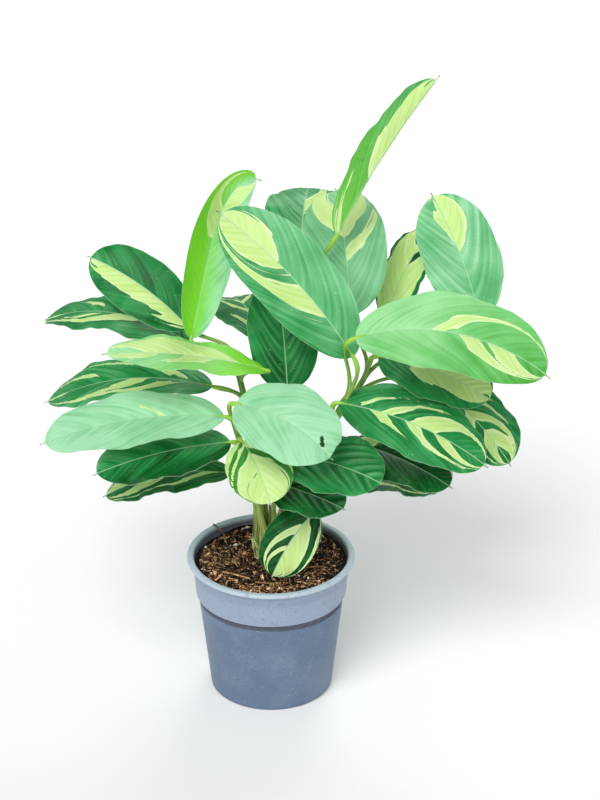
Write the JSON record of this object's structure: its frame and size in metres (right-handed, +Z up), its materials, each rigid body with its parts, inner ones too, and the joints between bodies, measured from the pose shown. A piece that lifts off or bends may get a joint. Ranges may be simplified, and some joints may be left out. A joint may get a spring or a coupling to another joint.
{
  "type": "potted pilosa calathea",
  "caption": "Potted foliage plant: a tight clump of leafy stems with long waved, cream-streaked green leaves, in a tapered round plastic nursery pot filled with soil.",
  "frame": {"origin": "on the surface that the pot stands on, under the middle of the pot", "axes": "+Z up along the pot's axis; -Y towards the viewer, the side of the hanging leaf; +X to the viewer's right"},
  "size_m": [0.3496, 0.2499, 0.4389],
  "materials": {
    "pot_plastic": "matte",
    "potting_soil": "matte",
    "leaf": "satin",
    "stalk": "satin"
  },
  "bodies": {
    "root": {"pot": "pot_plastic", "soil": "potting_soil", "leafy_stem_front_left": "leaf", "leafy_stem_right": "leaf", "leafy_stem_back_left": "leaf", "leafy_stem_back_right": "leaf", "leafy_stem_back": "leaf", "basal_leaf_front": "leaf", "basal_leaf_low_front": "leaf", "basal_leaf_hanging": "leaf", "basal_leaf_left": "leaf", "basal_leaf_right": "leaf", "basal_leaf_back": "leaf", "new_shoot": "stalk"}
  },
  "joints": []
}
